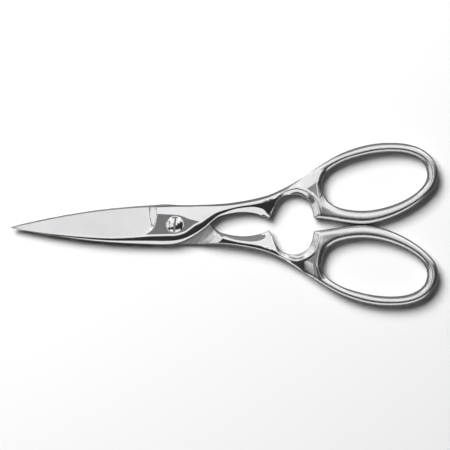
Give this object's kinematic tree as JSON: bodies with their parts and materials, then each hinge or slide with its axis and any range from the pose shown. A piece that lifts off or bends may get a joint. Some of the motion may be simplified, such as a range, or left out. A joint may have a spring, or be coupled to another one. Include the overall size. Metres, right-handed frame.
{
  "type": "poultry shears",
  "caption": "All-steel forged poultry and kitchen shears with a slotted pivot screw, closed finger bows and toothed grips between the handles.",
  "frame": {"origin": "on the pivot axis, in the plane the closed shears lie on, at the flat end of the pivot screw", "axes": "+X from the pivot towards the finger bows, +Y towards the bow of the front half, +Z along the pivot axis towards the slotted screw head"},
  "size_m": [0.1999, 0.0764, 0.0086],
  "materials": {
    "polished_steel": "mirror-polished forging, blades ground satin",
    "hardware_steel": "polished turned steel"
  },
  "bodies": {
    "back_body": {"back_half": "polished_steel", "pivot_screw": "hardware_steel", "spring_washer": "hardware_steel", "lock_nut": "hardware_steel"},
    "front_body": {"front_half": "polished_steel"}
  },
  "joints": [
    {"name": "pivot_hinge", "type": "hinge", "parent": "back_body", "child": "front_body", "pos_m": [0, 0, 0.004], "axis": [0, 0, 1], "range_deg": [0, 85]}
  ]
}
